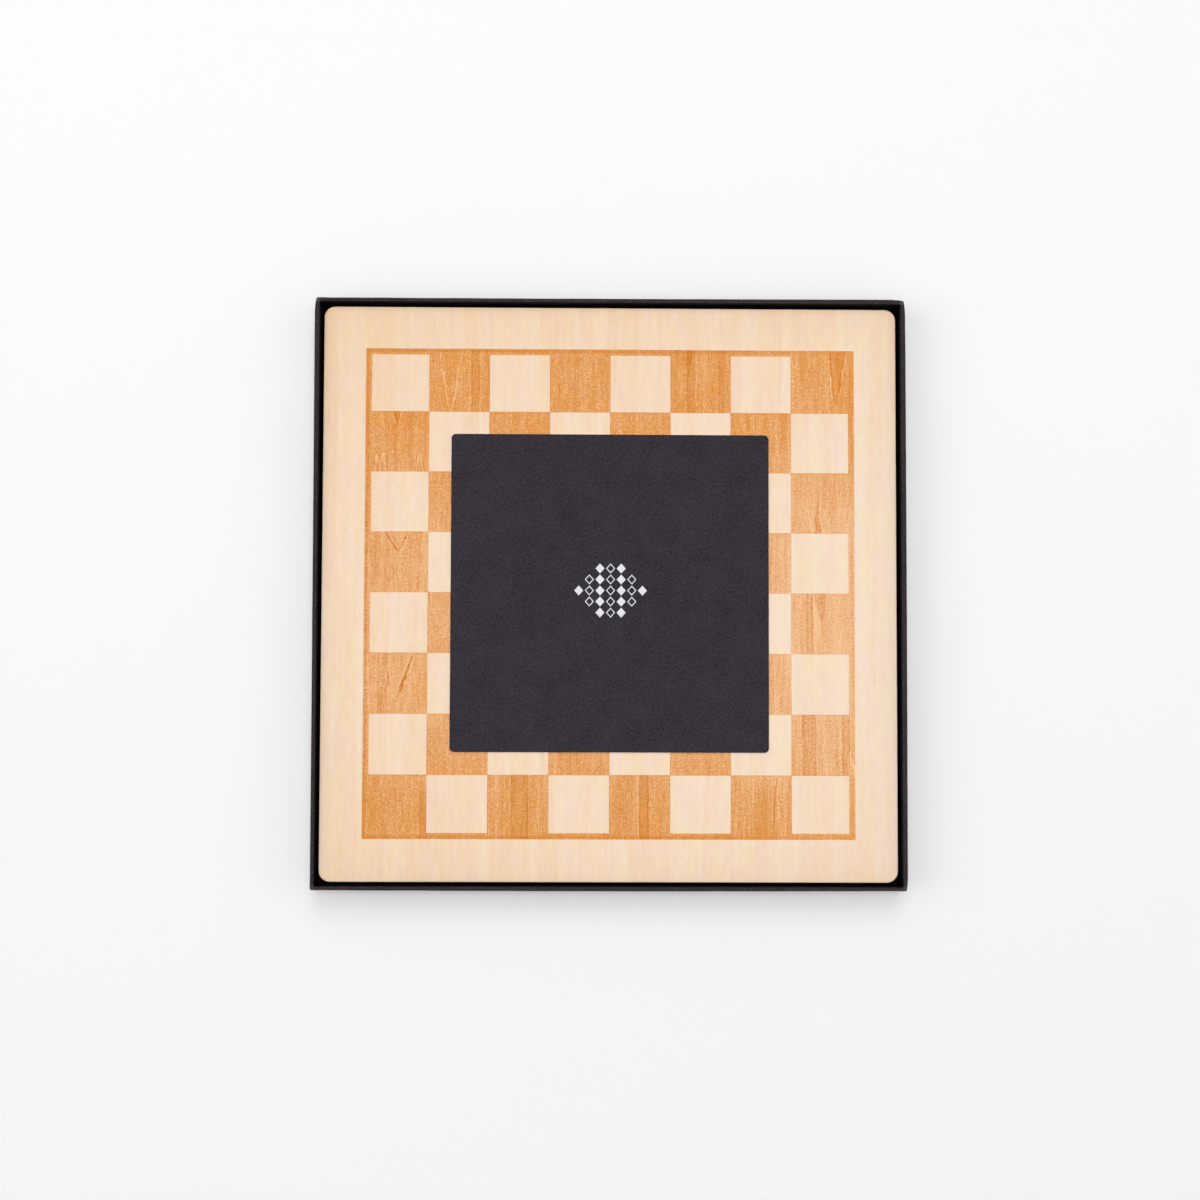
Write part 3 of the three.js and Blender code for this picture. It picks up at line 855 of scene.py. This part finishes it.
FLOOR_SIZE = 8000
# The floor is painted lighter at the back than at the front: painted light.
FLOOR_FRONT = srgb(250, 250, 250)
FLOOR_BACK = srgb(254, 254, 254)
FLOOR_SHADING = 800  # depth over which the floor goes from one to the other
FLOOR_FADE = (650, 2400)  # from the tray's middle, where the floor goes over into the sky
SKY_SHARE = 0.22
LAMPS = (
    # name, azimuth and elevation in degrees, distance and size in metres, share of the light
    ("overhead", 96, 88, 6.0, 2.0, 0.385),
    ("back", 90, 55, 6.0, 3.1, 0.17),
    ("left", 180, 44, 6.0, 4.1, 0.145),
    ("right", 0, 38, 6.0, 3.9, 0.055),
    ("front", 270, 72, 6.0, 2.9, 0.05),
)
CAMERA_PLACE = (-27.89, -79.41, 1318.1)  # from the middle of the board's face
CAMERA_TURN = (3.241, -0.943, 0.181)  # degrees
CAMERA_LENS = 60
SENSOR = 36


def lamp(name, azimuth, elevation, distance, size, share):
    """A square lamp that gives its share of the light that falls on a level surface."""
    azimuth, elevation = math.radians(azimuth), math.radians(elevation)
    level = math.cos(elevation)
    towards = Vector((level * math.cos(azimuth), level * math.sin(azimuth), math.sin(elevation)))
    data = bpy.data.lights.new(name, "AREA")
    data.size = size
    data.energy = share * math.pi**2 * distance**2 / towards.z
    made = bpy.data.objects.new(name, data)
    made.location = towards * distance
    made.rotation_euler = towards.to_track_quat("Z", "Y").to_euler()
    bpy.context.scene.collection.objects.link(made)


def seen_rays(tree):
    """1 for what the camera and glossy surfaces see, and 0 for what only gives light."""
    rays = tree.nodes.new("ShaderNodeLightPath")
    seen = tree.nodes.new("ShaderNodeMath")
    seen.operation = "MAXIMUM"
    tree.links.new(rays.outputs["Is Camera Ray"], seen.inputs[0])
    tree.links.new(rays.outputs["Is Glossy Ray"], seen.inputs[1])
    return seen.outputs[0]


def sky():
    """White as the camera and glossy surfaces see it, and softer as light."""
    world = bpy.data.worlds.new("sky")
    bpy.context.scene.world = world
    world.use_nodes = True
    tree = world.node_tree
    background = tree.nodes["Background"]
    background.inputs["Color"].default_value = (1, 1, 1, 1)
    strength = tree.nodes.new("ShaderNodeMix")
    strength.inputs["A"].default_value = SKY_SHARE
    strength.inputs["B"].default_value = 1.0
    tree.links.new(seen_rays(tree), strength.inputs["Factor"])
    tree.links.new(strength.outputs[0], background.inputs["Strength"])


def floor():
    """A white floor with painted light, lighter towards the back, which goes over into the white sky far
    from the tray, so that no horizon shows.
    """
    half = FLOOR_SIZE / 2 * MM
    mesh = bpy.data.meshes.new("floor")
    corners = [(-half, -half, 0), (half, -half, 0), (half, half, 0), (-half, half, 0)]
    mesh.from_pydata(corners, [], [(0, 1, 2, 3)])
    made = bpy.data.objects.new("floor", mesh)
    bpy.context.scene.collection.objects.link(made)
    shader = Shader("floor_white", 0.9, 0.0)
    x, y, _ = shader.place()
    # Painted light: the floor's colour goes lighter towards the back.
    colour = shader.mix((y / FLOOR_SHADING + 0.5).rise(0, 1), FLOOR_FRONT, FLOOR_BACK)
    mesh.materials.append(shader.done(colour))
    distance = (x * x + y * y) ** 0.5
    shader.whiten(distance.rise(*FLOOR_FADE) * Term(shader, seen_rays(shader.tree)))


def camera():
    """The photograph's camera, fitted to the board's squares."""
    data = bpy.data.cameras.new("camera")
    data.lens = CAMERA_LENS
    data.sensor_width = SENSOR
    made = bpy.data.objects.new("camera", data)
    made.location = (Vector(CAMERA_PLACE) + Vector((0, 0, BOARD_TOP))) * MM
    made.rotation_euler = [math.radians(turn) for turn in CAMERA_TURN]
    bpy.context.scene.collection.objects.link(made)
    bpy.context.scene.camera = made


finish_nodes()
tray_wrap()
for node_name in sorted(frame["nodes"]):
    if node_name.startswith("felt_foot_"):
        felt_foot(node_name)
    if node_name.startswith("staple_"):
        staple(node_name)
booklet_sheets()
cover_print()
floor()
sky()
for settings in LAMPS:
    lamp(*settings)
camera()
bpy.context.scene.view_settings.view_transform = "Standard"
